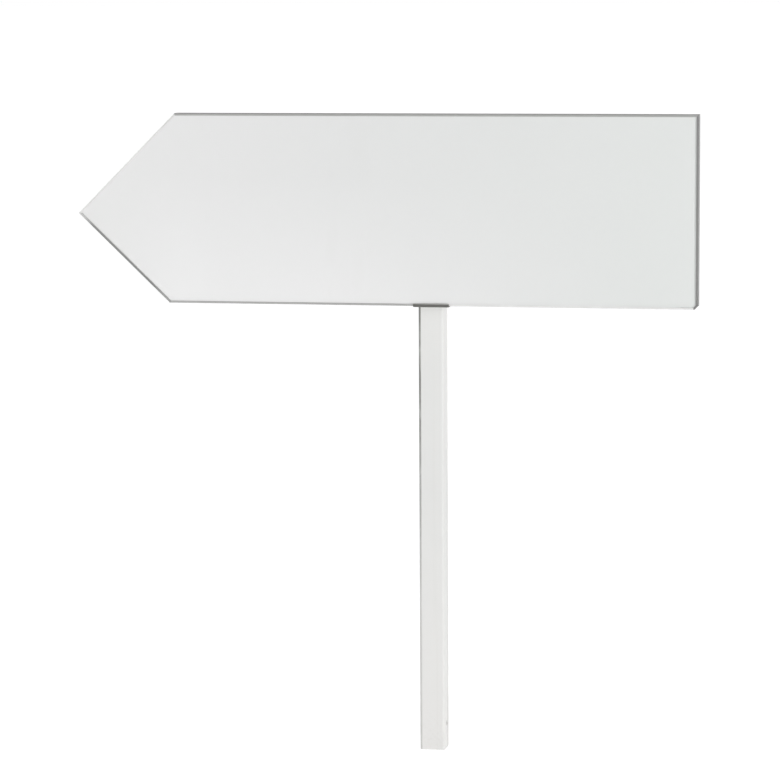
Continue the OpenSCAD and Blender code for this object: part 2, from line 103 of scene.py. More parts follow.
BOLT_R = 4.0 * MM
PITCH = 1.25 * MM
THREAD_DEPTH = 0.62 * PITCH
HEAD_WIDTH, HEAD_DEPTH, HEAD_LENGTH = 9.6 * MM, 4.0 * MM, 20.0 * MM
WASHER_R = 8.0 * MM
WASHER_HOLE_R = 4.2 * MM
WASHER_T = 1.6 * MM
NUT_FLATS = 13.0 * MM
NUT_HEX_H = 6.24 * MM
NUT_H = 8.0 * MM
NUT_COLLAR_R = 6.0 * MM
# Half the angle that one side of the nut's hexagon spans
HALF_SIDE = math.radians(30)
WASHER_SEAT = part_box("clamp_washers")[0].y
NUT_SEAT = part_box("clamp_nuts")[0].y
BOLT_FRONT, BOLT_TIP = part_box("clamp_bolts")[0].y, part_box("clamp_bolts")[1].y
HEAD_BACK = BOLT_FRONT + HEAD_DEPTH
BOLT_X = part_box("clamp_washers")[1].x - WASHER_R
CLAMP_Z = (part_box("clamp_washers")[0].z + WASHER_R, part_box("clamp_washers")[1].z - WASHER_R)
BOLT_PLACES = [(x, z) for z in CLAMP_Z for x in (-BOLT_X, BOLT_X)]
# Steps to one full turn
WASHER_STEPS, NUT_STEPS, THREAD_STEPS = 48, 72, 24


# Finishes

COAT_GREY = (0.315, 0.315, 0.308)
# The square end, its cast corner and the lower side of the point take a darker grey, which is
# painted shade
END_SHADE_GREY = (0.215, 0.216, 0.213)
POINT_SHADE_GREY = (0.240, 0.241, 0.238)
RIM_GREY_AND_SHADE = {
    "rim_top": COAT_GREY, "rim_end": END_SHADE_GREY, "rim_bottom": COAT_GREY,
    "rim_point_lower": POINT_SHADE_GREY, "rim_point_upper": COAT_GREY,
}
# The shader's specular level for the grey coat
COAT_SHINE = 0.35
# Pale grey of the painted highlight on the rim's lip
LIP_HIGHLIGHT = (0.87, 0.87, 0.86)
# Dark grey of the painted shade along the post's edges
EDGE_SHADE_GREY = (0.21, 0.21, 0.20)
# Half the width of the dark seam at a mitre, and how far from its corner a seam can run
SEAM_HALF = 0.30 * MM
SEAM_REACH = 0.12


class Finish:
    """One material, built up on its Principled shader. Patterns follow the object's coordinates."""

    def __init__(self, name, colour, roughness, metallic=0.0):
        self.material = bpy.data.materials.new(name)
        self.material.use_nodes = True
        self.tree = self.material.node_tree
        self.shader = self.tree.nodes["Principled BSDF"]
        self.shader.inputs["Base Color"].default_value = (*colour, 1.0)
        self.shader.inputs["Roughness"].default_value = roughness
        self.shader.inputs["Metallic"].default_value = metallic
        self.colour = (*colour, 1.0)
        self.roughness = roughness
        self.relief = None
        self.places = self.add("ShaderNodeTexCoord").outputs["Object"]

    def add(self, kind, **settings):
        """A new shader node, with its settings."""
        node = self.tree.nodes.new(kind)
        for key, value in settings.items():
            setattr(node, key, value)
        return node

    def put(self, socket, value):
        """Links a socket, or sets a number, colour or vector."""
        if isinstance(value, bpy.types.NodeSocket):
            self.tree.links.new(value, socket)
        else:
            socket.default_value = value

    def stretched(self, scale, turn=(0, 0, 0)):
        """The object's coordinates, turned and scaled."""
        node = self.add("ShaderNodeMapping", vector_type="POINT")
        self.put(node.inputs["Vector"], self.places)
        node.inputs["Rotation"].default_value = turn
        node.inputs["Scale"].default_value = scale
        return node.outputs["Vector"]

    def noise(self, scale, detail=2.0, rough=0.5, vector=None):
        """A cloudy pattern round 0.5."""
        node = self.add("ShaderNodeTexNoise")
        self.put(node.inputs["Vector"], vector or self.places)
        node.inputs["Scale"].default_value = scale
        node.inputs["Detail"].default_value = detail
        node.inputs["Roughness"].default_value = rough
        return node.outputs["Fac"]

    def cells(self, scale, feature="F1", vector=None, jitter=1.0):
        """A pattern of cells, as its node."""
        node = self.add("ShaderNodeTexVoronoi", feature=feature)
        self.put(node.inputs["Vector"], vector or self.places)
        node.inputs["Scale"].default_value = scale
        node.inputs["Randomness"].default_value = jitter
        return node

    def work_out(self, operation, a, b=0.0, c=None):
        """The result of a calculation with sockets or numbers."""
        node = self.add("ShaderNodeMath", operation=operation)
        self.put(node.inputs[0], a)
        self.put(node.inputs[1], b)
        if c is not None:
            self.put(node.inputs[2], c)
        return node.outputs[0]

    def times(self, a, b):
        """One value times another."""
        return self.work_out("MULTIPLY", a, b)

    def ramp(self, value, low, high, to_low=0.0, to_high=1.0):
        """Brings low..high to to_low..to_high, with nothing past the ends."""
        node = self.add("ShaderNodeMapRange", clamp=True)
        self.put(node.inputs["Value"], value)
        node.inputs["From Min"].default_value = low
        node.inputs["From Max"].default_value = high
        node.inputs["To Min"].default_value = to_low
        node.inputs["To Max"].default_value = to_high
        return node.outputs["Result"]

    def axis(self, name):
        """One of the object's coordinates."""
        node = self.add("ShaderNodeSeparateXYZ")
        self.put(node.inputs[0], self.places)
        return node.outputs[name]

    def from_corner(self, corner):
        """The way from a corner of the panel to the place, as a vector."""
        x, z = CORNER[corner]
        node = self.add("ShaderNodeVectorMath", operation="SUBTRACT")
        self.put(node.inputs[0], self.places)
        node.inputs[1].default_value = (x, 0.0, z)
        return node.outputs["Vector"]

    def reach_along(self, vector, direction):
        """How far a vector goes in a direction of the panel's plane."""
        node = self.add("ShaderNodeVectorMath", operation="DOT_PRODUCT")
        self.put(node.inputs[0], vector)
        node.inputs[1].default_value = (direction[0], 0.0, direction[1])
        return node.outputs["Value"]

    def length(self, vector):
        """The length of a vector."""
        node = self.add("ShaderNodeVectorMath", operation="LENGTH")
        self.put(node.inputs[0], vector)
        return node.outputs["Value"]

    def tint(self, factor, colour):
        """Lays a colour over what the base colour is so far."""
        node = self.add("ShaderNodeMix", data_type="RGBA", clamp_factor=True)
        self.put(node.inputs[0], factor)
        self.put(node.inputs[6], self.colour)
        self.put(node.inputs[7], (*colour, 1.0))
        self.colour = node.outputs[2]
        self.put(self.shader.inputs["Base Color"], self.colour)

    def rougher(self, factor, amount):
        """Adds amount times factor to the roughness."""
        self.roughness = self.work_out("MULTIPLY_ADD", factor, amount, self.roughness)
        self.put(self.shader.inputs["Roughness"], self.roughness)

    def emboss(self, height, distance, strength):
        """Raises the surface by a height pattern, on top of what is there already."""
        node = self.add("ShaderNodeBump")
        node.inputs["Strength"].default_value = strength
        node.inputs["Distance"].default_value = distance
        self.put(node.inputs["Height"], height)
        if self.relief is not None:
            self.put(node.inputs["Normal"], self.relief)
        self.relief = node.outputs["Normal"]
        self.put(self.shader.inputs["Normal"], self.relief)

    def eased_edges(self, radius):
        """Gives sharp edges the small radius that a coat or a tumbled edge has."""
        node = self.add("ShaderNodeBevel", samples=6)
        node.inputs["Radius"].default_value = radius
        self.relief = node.outputs["Normal"]
        self.put(self.shader.inputs["Normal"], self.relief)


# Heights on the post are in metres above its foot

def painted_shade_left_edge(f, height):
    """Painted shade in the rounding of the post's left front edge, darkest under the panel."""
    beside = f.ramp(f.axis("X"), -POST_SIDE + 6.6 * MM, -POST_SIDE + 5.2 * MM)
    ahead = f.ramp(f.axis("Y"), -POST_SIDE + 7 * MM, -POST_SIDE + 5 * MM)
    fading = f.ramp(height, 0.35, 0.85, 0.22, 0.92)
    weaker_behind_panel = f.ramp(height, PANEL_BOTTOM + 30 * MM, PANEL_BOTTOM + 120 * MM, 1.0, 0.25)
    fading = f.times(fading, weaker_behind_panel)
    broken = f.ramp(f.noise(1.0, 4, 0.6, f.stretched((30, 30, 9))), 0.34, 0.52, 0.45, 1.0)
    f.tint(f.times(f.times(beside, ahead), f.times(fading, broken)), EDGE_SHADE_GREY)


def painted_shade_right_side(f, height):
    """Painted shade on the rear half of the post's right side, stronger near the ground."""
    beside = f.ramp(f.axis("X"), POST_SIDE - 1.5 * MM, POST_SIDE - 0.5 * MM)
    behind = f.ramp(f.axis("Y"), -2 * MM, 8 * MM)
    thin = f.ramp(height, 0.85, 0.65, 0.0, 0.08)
    thick = f.ramp(height, 0.20, 0.06, 0.0, 0.15)
    # This mask is painted shade of the side beyond the rounding
    dust = f.times(f.times(beside, behind), f.work_out("ADD", thin, thick))
    f.tint(dust, EDGE_SHADE_GREY)


def powder_white():
    """White powder coat on the post: orange peel, rain streaks, and painted light that makes it
    paler at its foot and its top.
    """
    f = Finish("powder_white", (0.792, 0.795, 0.782), 0.40)
    f.eased_edges(0.4 * MM)
    f.tint(f.ramp(f.noise(3.5, 3), 0.45, 0.75, 0.0, 0.35), (0.770, 0.772, 0.758))
    height = f.axis("Z")
    # Painted light: paler towards the foot, lifting the darker shading low on the post
    f.tint(f.ramp(height, 0.62, 0.0), (0.848, 0.840, 0.824))
    # Painted light: paler just under the panel, against the shadow the panel casts there
    f.tint(f.ramp(height, 0.92, PANEL_BOTTOM), (0.835, 0.836, 0.820))
    rain = f.noise(1.0, 4, vector=f.stretched((90, 90, 1.2)))
    f.tint(f.ramp(rain, 0.60, 0.80, 0.0, 0.18), (0.70, 0.695, 0.67))
    painted_shade_left_edge(f, height)
    painted_shade_right_side(f, height)
    splash = f.times(f.ramp(height, 0.14, 0.0), f.ramp(f.noise(140, 3), 0.48, 0.68))
    f.tint(f.times(splash, 0.10), (0.55, 0.52, 0.47))
    f.rougher(f.noise(60, 3), 0.10)
    f.emboss(f.noise(420, 1.5), 0.05 * MM, 0.55)
    return f.material


def inward_distance(f, start, end):
    """How far a place lies inside the side of the panel that runs from one corner to the next."""
    along = (Vector(CORNER[end]) - Vector(CORNER[start])).normalized()
    return f.reach_along(f.from_corner(start), (along.y, -along.x))


def sign_film():
    """White reflective film: sealed cells under a clear face, seen only from close by."""
    f = Finish("sign_film", (0.800, 0.802, 0.800), 0.30)
    f.shader.inputs["Coat Weight"].default_value = 0.20
    f.shader.inputs["Coat Roughness"].default_value = 0.30
    cells = f.cells(240.0, "DISTANCE_TO_EDGE", f.stretched((1, 0.001, 1)), 0.12)
    walls = f.ramp(cells.outputs["Distance"], 0.03, 0.09, 1.0, 0.0)
    f.tint(f.times(walls, 0.16), (0.70, 0.71, 0.71))
    # The white changes slowly over the face as painted light and shade: darker and cooler to the
    # right, a painted pool of light low on the left, and a little darker at the point. X is in
    # metres from the post's middle.
    x = f.axis("X")
    f.tint(f.ramp(x, -0.45, 0.55), (0.765, 0.785, 0.772))
    low = f.ramp(f.axis("Z"), PANEL_TOP - 0.15, PANEL_BOTTOM)
    f.tint(f.times(low, f.ramp(x, 0.45, -0.25)), (0.860, 0.860, 0.860))
    f.tint(f.ramp(x, -0.60, -0.80), (0.788, 0.790, 0.786))
    f.tint(f.ramp(f.noise(1.6, 3), 0.40, 0.70, 0.0, 0.20), (0.780, 0.788, 0.784))
    dust = f.noise(1.0, 5, 0.6, f.stretched((9, 9, 2.2)))
    f.tint(f.ramp(dust, 0.62, 0.82, 0.0, 0.16), (0.70, 0.70, 0.68))
    # Painted shade in the crease beside the rim's lip, with dirt gathered there
    for start, end, share in (("top_left", "top_right", 0.45), ("bottom_left", "point", 0.55)):
        inward = inward_distance(f, start, end)
        lip_shade_and_dirt = f.ramp(inward, LIP_WIDTH + 0.4 * MM, LIP_WIDTH + 1.8 * MM, share, 0.0)
        f.tint(lip_shade_and_dirt, (0.34, 0.34, 0.33))
    f.rougher(f.noise(25, 4), 0.08)
    f.emboss(walls, 0.02 * MM, 0.4)
    f.emboss(f.noise(2.4, 2), 0.8 * MM, 0.12)
    return f.material


def mitre_normal(corner):
    """The direction, in the panel's plane, that crosses the mitre at a corner."""
    i = ORDER.index(corner)
    here = Vector(CORNER[corner])
    before = (Vector(CORNER[ORDER[i - 1]]) - here).normalized()
    after = (Vector(CORNER[ORDER[(i + 1) % len(ORDER)]]) - here).normalized()
    return (after - before).normalized()


def mitre_line(f, corner):
    """1 on the seam where two rim lengths meet at a corner, and 0 beside it."""
    away = f.from_corner(corner)
    across = f.work_out("ABSOLUTE", f.reach_along(away, mitre_normal(corner)))
    near = f.work_out("LESS_THAN", f.length(away), SEAM_REACH)
    return f.times(near, f.ramp(across, SEAM_HALF * 0.6, SEAM_HALF, 1.0, 0.0))


def painted_lip_highlight(f, share):
    """Pales the rim's front lip with a painted highlight, as far as a share of 0 to 1 says."""
    on_lip = f.ramp(f.axis("Y"), PANEL_FRONT + 1.8 * MM, PANEL_FRONT + 3.2 * MM, 1.0, 0.0)
    uneven = f.ramp(f.noise(22, 4), 0.30, 0.70, 0.86, 1.0)
    f.tint(f.times(f.times(on_lip, uneven), share), LIP_HIGHLIGHT)


def settled_dust(f):
    """Street dust on the panel's upper side, which takes its shine away."""
    low, high = PANEL_TOP - 0.9 * MM, PANEL_TOP - 0.3 * MM
    height = f.axis("Z")
    f.tint(f.ramp(height, low, high, 0.0, 0.8), (0.42, 0.42, 0.41))
    f.rougher(f.ramp(height, low, high), 0.50)
    f.put(f.shader.inputs["Specular IOR Level"], f.ramp(height, low, high, COAT_SHINE, 0.03))


def lip_highlights_and_dust(f, name):
    """The painted highlights on stretches of each length's lip, and the dust on the top one."""
    tip = CORNER["point"][0]
    if name == "rim_top":
        painted_lip_highlight(f, 0.20)
        settled_dust(f)
    if name == "rim_point_upper":
        painted_lip_highlight(f, 0.97)
    if name == "rim_point_lower":
        painted_lip_highlight(f, f.ramp(f.axis("X"), tip + 14 * MM, tip + 34 * MM, 0.55, 0.0))
        painted_lip_highlight(f, f.ramp(f.axis("X"), tip + 185 * MM, tip + 205 * MM, 0.0, 0.20))
    if name == "rim_bottom":
        painted_lip_highlight(f, f.ramp(f.axis("X"), -0.06, 0.04, 0.20, 0.95))


def rim_coat(name):
    """Grey powder coat on the extrusion: faint die lines along it, and its mitred seams."""
    start, end = (Vector(CORNER[c]) for c in SIDE_OF[name])
    lean = math.atan2(end.y - start.y, end.x - start.x)
    # Lengths listed with a darker grey carry painted shade
    f = Finish("coat_" + name, RIM_GREY_AND_SHADE[name], 0.34)
    f.shader.inputs["Specular IOR Level"].default_value = COAT_SHINE
    f.eased_edges(0.3 * MM)
    die_lines = f.noise(1.0, 2, vector=f.stretched((1.5, 900, 900), (0, lean, 0)))
    f.tint(f.ramp(die_lines, 0.35, 0.75, 0.0, 0.12), (0.40, 0.40, 0.39))
    f.tint(f.ramp(f.noise(7, 4), 0.45, 0.80, 0.0, 0.25), (0.245, 0.245, 0.24))
    grime = f.noise(1.0, 4, 0.6, f.stretched((26, 26, 5)))
    f.tint(f.ramp(grime, 0.60, 0.85, 0.0, 0.25), (0.22, 0.22, 0.205))
    f.rougher(f.noise(90, 3), 0.07)
    f.emboss(die_lines, 0.012 * MM, 0.5)
    f.emboss(f.noise(520, 1.5), 0.03 * MM, 0.4)
    lip_highlights_and_dust(f, name)
    for corner in SIDE_OF[name]:
        if corner in MITRED:
            seam = mitre_line(f, corner)
            f.tint(f.times(seam, 0.75), (0.06, 0.06, 0.06))
            f.emboss(f.work_out("SUBTRACT", 1.0, seam), 0.20 * MM, 0.8)
    return f.material


def cast_coat():
    """The square end's darker grey, which is painted shade, on the cast corner block: a coarser
    skin, soft at its edges, with a painted highlight low on its lip.
    """
    end_x = CORNER["bottom_right"][0]
    f = Finish("cast_coat", END_SHADE_GREY, 0.38)
    f.shader.inputs["Specular IOR Level"].default_value = COAT_SHINE
    f.eased_edges(0.7 * MM)
    f.tint(f.ramp(f.noise(30, 4), 0.45, 0.75, 0.0, 0.35), (0.28, 0.28, 0.275))
    # Painted highlight on the block's lower lip, running on from the bottom rim's
    low = f.ramp(f.axis("Z"), PANEL_BOTTOM + 4 * MM, PANEL_BOTTOM + 6 * MM, 1.0, 0.0)
    along = f.ramp(f.axis("X"), end_x - 12 * MM, end_x - 9 * MM, 0.95, 0.0)
    painted_lip_highlight(f, f.times(low, along))
    f.rougher(f.noise(160, 3), 0.10)
    f.emboss(f.noise(300, 3, 0.6), 0.10 * MM, 0.5)
    return f.material


def sheet_back():
    """Grey painted sheet, seen from behind: rolled grain, rain runs and dust low down."""
    f = Finish("sheet_back", (0.345, 0.345, 0.335), 0.42)
    grain = f.noise(1.0, 3, vector=f.stretched((2.0, 60, 650)))
    f.tint(f.ramp(grain, 0.40, 0.70, 0.0, 0.10), (0.39, 0.39, 0.38))
    f.tint(f.ramp(f.noise(2.6, 5, 0.55), 0.42, 0.72, 0.0, 0.40), (0.315, 0.315, 0.305))
    runs = f.noise(1.0, 5, 0.6, f.stretched((42, 42, 1.6)))
    height = f.axis("Z")
    from_top = f.ramp(height, PANEL_BOTTOM + 0.05, PANEL_TOP, 0.25, 1.0)
    runs = f.times(f.ramp(runs, 0.56, 0.78), from_top)
    f.tint(f.times(runs, 0.34), (0.235, 0.235, 0.222))
    low = f.ramp(height, PANEL_BOTTOM + 0.075, PANEL_BOTTOM + 0.03)
    settled = f.times(low, f.ramp(f.noise(38, 4), 0.35, 0.70))
    f.tint(f.times(settled, 0.45), (0.42, 0.40, 0.36))
    f.rougher(f.noise(14, 4), 0.14)
    f.emboss(grain, 0.015 * MM, 0.5)
    f.emboss(f.noise(3.2, 2), 1.2 * MM, 0.16)
    return f.material


def zinc_plate():
    """Dull zinc on pressed steel: cloudy spangle and a few pale bloom spots."""
    f = Finish("zinc_plate", (0.56, 0.58, 0.59), 0.36, 1.0)
    f.eased_edges(0.35 * MM)
    spangle = f.cells(230.0)
    shade = f.add("ShaderNodeSeparateColor")
    f.put(shade.inputs[0], spangle.outputs["Color"])
    f.tint(f.ramp(shade.outputs[0], 0.0, 1.0, 0.0, 0.30), (0.44, 0.46, 0.48))
    f.tint(f.ramp(f.noise(45, 4), 0.50, 0.78, 0.0, 0.45), (0.66, 0.66, 0.64))
    f.tint(f.ramp(f.noise(210, 3), 0.66, 0.78, 0.0, 0.55), (0.74, 0.74, 0.72))
    f.rougher(f.noise(70, 4), 0.18)
    f.emboss(f.noise(600, 2), 0.02 * MM, 0.5)
    return f.material


def turned_stainless():
    """Plain stainless steel of bolts, washers and nuts: fine drawn lines and slight stain."""
    f = Finish("turned_stainless", (0.61, 0.61, 0.59), 0.24, 1.0)
    f.eased_edges(0.15 * MM)
    lines = f.noise(1.0, 2, vector=f.stretched((500, 2600, 500)))
    f.tint(f.ramp(lines, 0.35, 0.75, 0.0, 0.22), (0.50, 0.50, 0.485))
    f.tint(f.ramp(f.noise(260, 4), 0.58, 0.80, 0.0, 0.35), (0.42, 0.39, 0.34))
    f.rougher(f.noise(350, 3), 0.14)
    f.emboss(lines, 0.01 * MM, 0.5)
    return f.material


def hook_lip_wear(f):
    """The upper edge of the hook plate's lip, where the coat has chalked."""
    ahead = f.ramp(f.axis("Y"), PANEL_FRONT, PANEL_FRONT - 0.3 * MM)
    edge = PANEL_BOTTOM + HOOK_LIP
    upper = f.ramp(f.axis("Z"), edge - 2.1 * MM, edge - 1.3 * MM, 0.0, 0.75)
    return f.times(ahead, upper)


def dark_coat():
    """Dark coat on the clamp plates: matt, pinpricked, scuffed in places."""
    f = Finish("dark_coat", (0.112, 0.112, 0.104), 0.44)
    f.tint(f.ramp(f.noise(55, 4), 0.45, 0.75, 0.0, 0.40), (0.135, 0.135, 0.126))
    scuffs = f.noise(1.0, 4, 0.65, f.stretched((340, 120, 120)))
    f.tint(f.ramp(scuffs, 0.68, 0.76, 0.0, 0.50), (0.24, 0.24, 0.235))
    f.tint(hook_lip_wear(f), (0.60, 0.60, 0.58))
    f.rougher(f.noise(120, 3), 0.16)
    f.emboss(f.noise(650, 2), 0.03 * MM, 0.5)
    return f.material


def moulded_black():
    """Black plastic of the post's plug, with a fine spark-eroded grain and a little dust."""
    f = Finish("moulded_black", (0.030, 0.030, 0.031), 0.46)
    f.tint(f.ramp(f.noise(28, 5), 0.50, 0.80, 0.0, 0.50), (0.085, 0.082, 0.076))
    f.rougher(f.noise(90, 3), 0.14)
    f.emboss(f.noise(1500, 2), 0.03 * MM, 0.7)
    return f.material


def foam_tape():
    """Black foam of the bonding tape, with open pores."""
    f = Finish("foam_tape", (0.022, 0.022, 0.023), 0.80)
    pores = f.cells(1400.0).outputs["Distance"]
    f.tint(f.ramp(pores, 0.1, 0.6, 0.0, 0.6), (0.045, 0.045, 0.045))
    f.emboss(pores, 0.10 * MM, 0.8)
    return f.material


def lock_ring():
    """Pale nylon of the ring in each locking nut."""
    f = Finish("lock_ring", (0.62, 0.63, 0.60), 0.38)
    f.shader.inputs["Subsurface Weight"].default_value = 0.15
    f.shader.inputs["Subsurface Scale"].default_value = 1.0 * MM
    f.tint(f.ramp(f.noise(420, 3), 0.45, 0.75, 0.0, 0.5), (0.50, 0.50, 0.46))
    f.emboss(f.noise(900, 2), 0.03 * MM, 0.5)
    return f.material


ZINC = zinc_plate()
STAINLESS = turned_stainless()
DARK = dark_coat()
NYLON = lock_ring()
FINISH = {
    "post": powder_white(),
    "post_cap": moulded_black(),
    "face_film": sign_film(),
    "face_sheet": sheet_back(),
    "corner_block": cast_coat(),
    "rail_tapes": foam_tape(),
    "upper_saddle": DARK,
    "hook_plate": DARK,
    "upper_strap": ZINC,
    "lower_strap": ZINC,
    "clamp_bolts": STAINLESS,
    "clamp_washers": STAINLESS,
    "clamp_nuts": STAINLESS,
    "corner_key_screws": STAINLESS,
    "corner_block_screws": STAINLESS,
}
for rim in SIDE_OF:
    FINISH[rim] = rim_coat(rim)
FINISH["mid_rail"] = FINISH["rim_top"]
for corner in MITRED:
    FINISH["corner_key_" + corner] = ZINC

for name, piece in NODES.items():
    for material_slot in piece.material_slots:
        material_slot.material = FINISH[name]


# Small pieces

def finished(bm, name, body, materials, replaced, smooth):
    """Turns a bmesh into a piece that rides on a body, smooth up to an angle in degrees."""
    bmesh.ops.recalc_face_normals(bm, faces=bm.faces)
    mesh = bpy.data.meshes.new(name)
    bm.to_mesh(mesh)
    bm.free()
    for material in materials:
        mesh.materials.append(material)
    mesh.shade_smooth()
    mesh.set_sharp_from_angle(angle=math.radians(smooth))
    piece = bpy.data.objects.new(name, mesh)
    bpy.context.scene.collection.objects.link(piece)
    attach(piece, body)
    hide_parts(*replaced)


def joined(parts):
    """One bmesh made of several, which are used up."""
    bm = bmesh.new()
    for part in parts:
        loose = bpy.data.meshes.new("loose_part")
        part.to_mesh(loose)
        part.free()
        bm.from_mesh(loose)
        bpy.data.meshes.remove(loose)
    return bm


def ease(bm, edges, width, segments):
    """Rounds the given edges."""
    bmesh.ops.bevel(
        bm, geom=edges, offset=width, offset_type="OFFSET", segments=segments,
        profile=0.5, affect="EDGES", clamp_overlap=True, material=-1,
    )


def sharp_edges(bm, angle):
    """The edges where two faces meet at more than an angle in degrees."""
    limit = math.radians(angle)
    return [e for e in bm.edges if len(e.link_faces) == 2 and e.calc_face_angle(0.0) > limit]


def revolved(bm, profile, centre, steps):
    """Turns a closed profile of (radius, depth) points about an axis along Y through centre."""
    verts = [bm.verts.new((centre[0] + r, y, centre[1])) for r, y in profile]
    edges = [bm.edges.new(pair) for pair in zip(verts, verts[1:] + verts[:1])]
    bmesh.ops.spin(
        bm, geom=verts + edges, cent=(centre[0], 0.0, centre[1]), axis=(0.0, 1.0, 0.0),
        angle=math.tau, steps=steps, use_merge=True, use_duplicate=False,
    )
    bmesh.ops.remove_doubles(bm, verts=bm.verts, dist=0.002 * MM)


def clamp_washers():
    """Stamped washers: square on the side they were pressed from, rolled on the other."""
    bm = bmesh.new()
    y0, y1 = WASHER_SEAT, WASHER_SEAT + WASHER_T
    roll, nick = 0.35 * MM, 0.12 * MM
    profile = [
        (WASHER_HOLE_R + nick, y0), (WASHER_R - nick, y0), (WASHER_R, y0 + nick),
        (WASHER_R, y1 - roll), (WASHER_R - 0.30 * roll, y1 - 0.30 * roll), (WASHER_R - roll, y1),
        (WASHER_HOLE_R + roll, y1), (WASHER_HOLE_R + 0.30 * roll, y1 - 0.30 * roll),
        (WASHER_HOLE_R, y1 - roll), (WASHER_HOLE_R, y0 + nick),
    ]
    for place in BOLT_PLACES:
        revolved(bm, profile, place, WASHER_STEPS)
    finished(bm, "pressed_washers", "clamps", [STAINLESS], ["clamp_washers"], 40.0)


def hexagon_reach(angle):
    """Distance from the middle of the nut to its hexagon, in a direction about its axis."""
    turn = (angle + HALF_SIDE) % (2 * HALF_SIDE) - HALF_SIDE
    return NUT_FLATS / 2 / math.cos(HALF_SIDE - abs(turn))


def nut_profile(rolled):
    """Half a section of a nut: hexagon, collar, ring and bore. Past a depth the collar rolls in."""
    y = NUT_SEAT
    corner = NUT_FLATS / 2 / math.cos(HALF_SIDE)
    # How the corners are turned off at both ends of the hexagon, as depth and radius
    turned = [(0.0, 6.30 * MM), (0.12 * MM, 6.60 * MM), (0.30 * MM, 6.95 * MM), (0.62 * MM, corner)]
    front = [(r, y + d) for d, r in turned]
    back = [(r, y + NUT_HEX_H - d) for d, r in reversed(turned)]
    collar = [
        (NUT_COLLAR_R, y + NUT_HEX_H + 0.05 * MM), (NUT_COLLAR_R, y + rolled),
        (NUT_COLLAR_R - 0.25 * MM, y + NUT_H - 0.32 * MM), (NUT_COLLAR_R - 0.80 * MM, y + NUT_H),
        (NUT_COLLAR_R - 1.15 * MM, y + NUT_H), (NUT_COLLAR_R - 1.25 * MM, y + NUT_H - 0.20 * MM),
    ]
    ring = [(BOLT_R + 0.35 * MM, y + NUT_H - 0.30 * MM), (BOLT_R + 0.06 * MM, y + NUT_H - 0.55 * MM)]
    bore = [(BOLT_R + 0.06 * MM, y + 0.6 * MM), (BOLT_R + 0.55 * MM, y)]
    return front + back + collar + ring + bore


def clamp_nuts():
    """Locking nuts: a hexagon with turned corners, a rolled collar and the ring inside it."""
    bm = bmesh.new()
    rolled = NUT_H - 0.9 * MM
    profile = nut_profile(rolled)
    ring_r = NUT_COLLAR_R - 1.2 * MM
    hexagon_back = NUT_SEAT + NUT_HEX_H
    for cx, cz in BOLT_PLACES:
        before = set(bm.verts)
        revolved(bm, profile, (cx, cz), NUT_STEPS)
        for v in set(bm.verts) - before:
            dx, dz = v.co.x - cx, v.co.z - cz
            r = math.hypot(dx, dz)
            if v.co.y < hexagon_back + 0.01 * MM and r > NUT_COLLAR_R + 0.2 * MM:
                share = min(r, hexagon_reach(math.atan2(dz, dx))) / r
                v.co.x, v.co.z = cx + dx * share, cz + dz * share
    for face in bm.faces:
        middle = face.calc_center_median()
        cx, cz = min(BOLT_PLACES, key=lambda p: math.hypot(middle.x - p[0], middle.z - p[1]))
        r = math.hypot(middle.x - cx, middle.z - cz)
        if middle.y > NUT_SEAT + rolled and r < ring_r:
            face.material_index = 1
    finished(bm, "locking_nuts", "clamps", [STAINLESS, NYLON], ["clamp_nuts"], 28.0)


def rolled_thread(bm, cx, cz):
    """The threaded shank of a bolt, cut off square at the head and chamfered at its tip."""
    root = BOLT_R - THREAD_DEPTH
    start = HEAD_BACK - PITCH
    turns = math.ceil((BOLT_TIP - HEAD_BACK) / PITCH) + 2
    profile = [
        (root, 0.0), (root, 0.12 * PITCH), (BOLT_R, 0.44 * PITCH), (BOLT_R, 0.56 * PITCH),
        (root, 0.88 * PITCH), (root, PITCH),
    ]
    verts = [bm.verts.new((cx + r, start + d, cz)) for r, d in profile]
    edges = [bm.edges.new(pair) for pair in zip(verts, verts[1:])]
    bmesh.ops.spin(
        bm, geom=verts + edges, cent=(cx, 0.0, cz), axis=(0.0, 1.0, 0.0),
        dvec=(0.0, PITCH / THREAD_STEPS, 0.0), angle=math.tau * turns, steps=THREAD_STEPS * turns,
        use_merge=False, use_duplicate=False,
    )
    bmesh.ops.remove_doubles(bm, verts=bm.verts, dist=0.004 * MM)
    for plane, outward in ((HEAD_BACK - 0.2 * MM, -1.0), (BOLT_TIP, 1.0)):
        bmesh.ops.bisect_plane(
            bm, geom=bm.verts[:] + bm.edges[:] + bm.faces[:],
            plane_co=(cx, plane, cz), plane_no=(0.0, outward, 0.0), clear_outer=True,
        )
        rim = [e for e in bm.edges if e.is_boundary and all(
            abs(v.co.y - plane) < 0.01 * MM for v in e.verts)]
        bmesh.ops.contextual_create(bm, geom=rim)
    tip_r = BOLT_R - 0.9 * MM
    for v in bm.verts:
        dx, dz = v.co.x - cx, v.co.z - cz
        r = math.hypot(dx, dz)
        limit = tip_r + max(0.0, BOLT_TIP - v.co.y)
        if r > limit:
            v.co.x, v.co.z = cx + dx * limit / r, cz + dz * limit / r


